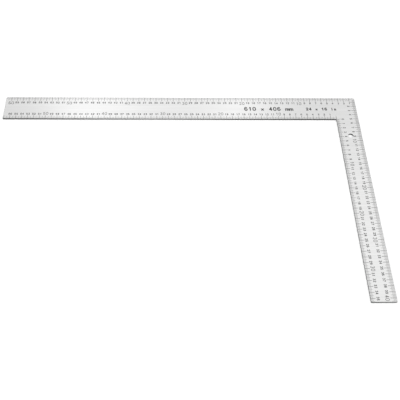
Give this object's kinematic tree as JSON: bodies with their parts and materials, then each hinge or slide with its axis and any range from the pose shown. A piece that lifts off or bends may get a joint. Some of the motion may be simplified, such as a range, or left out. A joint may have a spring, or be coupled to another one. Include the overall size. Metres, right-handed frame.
{
  "type": "steel square",
  "caption": "Flat L-shaped stainless steel square with a long blade, a shorter tongue, centimetre scales on all four long edges and a hanging hole.",
  "frame": {"origin": "middle of the rectangle round the L, on the back face, which is the face it lies on", "axes": "+X along the blade towards the heel (the outer corner), +Y across the blade towards its outer edge, +Z out of the graduated front face"},
  "size_m": [0.6096, 0.4064, 0.0026],
  "materials": {
    "stainless_steel": "satin, finely brushed along each arm",
    "line_enamel": "baked black enamel, semi-matt",
    "figure_enamel": "baked black enamel, semi-matt"
  },
  "bodies": {
    "root": {"steel_blank": "stainless_steel", "blade_outer_millimetre_lines": "line_enamel", "blade_outer_half_centimetre_lines": "line_enamel", "blade_outer_centimetre_lines": "line_enamel", "blade_outer_figures": "figure_enamel", "blade_outer_tens": "figure_enamel", "blade_inner_millimetre_lines": "line_enamel", "blade_inner_half_centimetre_lines": "line_enamel", "blade_inner_centimetre_lines": "line_enamel", "blade_inner_figures": "figure_enamel", "blade_inner_tens": "figure_enamel", "tongue_outer_millimetre_lines": "line_enamel", "tongue_outer_half_centimetre_lines": "line_enamel", "tongue_outer_centimetre_lines": "line_enamel", "tongue_outer_figures": "figure_enamel", "tongue_outer_tens": "figure_enamel", "tongue_inner_millimetre_lines": "line_enamel", "tongue_inner_half_centimetre_lines": "line_enamel", "tongue_inner_centimetre_lines": "line_enamel", "tongue_inner_figures": "figure_enamel", "tongue_inner_tens": "figure_enamel", "size_mark": "figure_enamel", "inch_mark": "figure_enamel"}
  },
  "joints": []
}
